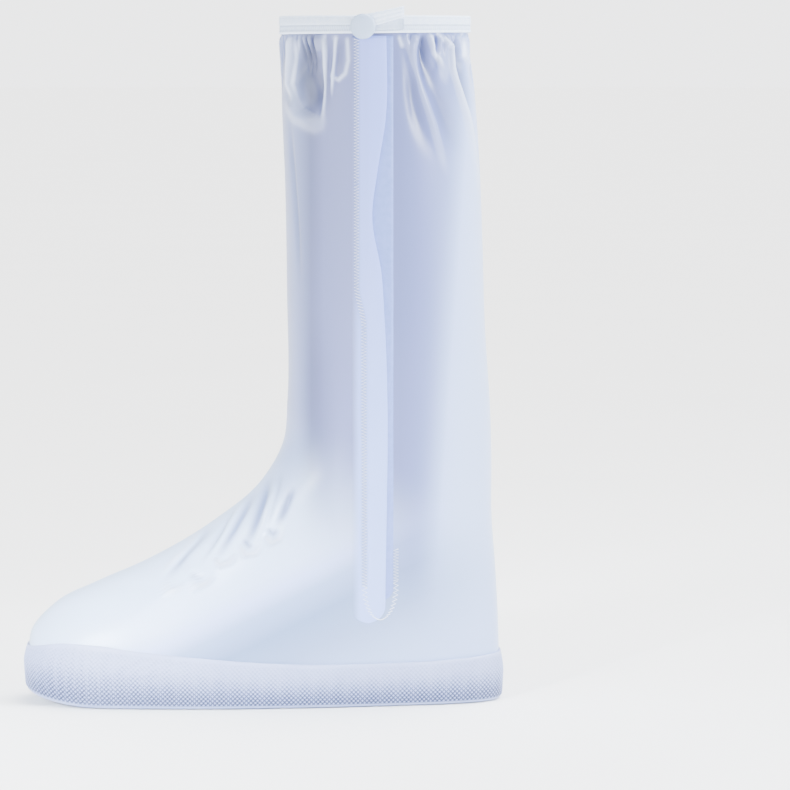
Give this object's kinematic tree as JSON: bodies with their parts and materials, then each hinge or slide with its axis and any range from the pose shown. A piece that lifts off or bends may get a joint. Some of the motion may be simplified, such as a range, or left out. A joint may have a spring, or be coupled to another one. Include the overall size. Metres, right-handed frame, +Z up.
{
  "type": "shoe cover",
  "caption": "High waterproof shoe cover of frosted plastic with a moulded sole, a zip under a storm flap and an elastic top band with a snap button, for a right shoe.",
  "frame": {"origin": "middle of the sole's flat underside, on the floor", "axes": "+Z up, -X toward the toe, +X toward the heel, -Y toward the inner side of the leg, where the zip is"},
  "size_m": [0.2981, 0.1257, 0.4296],
  "materials": {
    "sole_pvc": "satin",
    "shell_pvc": "frosted",
    "elastic": "woven",
    "button_plastic": "satin",
    "flap_pvc": "frosted",
    "zip_tape": "matt"
  },
  "bodies": {
    "root": {"sole": "sole_pvc", "upper": "shell_pvc", "top_band": "elastic", "band_tab": "elastic", "snap_button": "button_plastic", "zip_flap": "flap_pvc", "zipper": "zip_tape"}
  },
  "joints": []
}
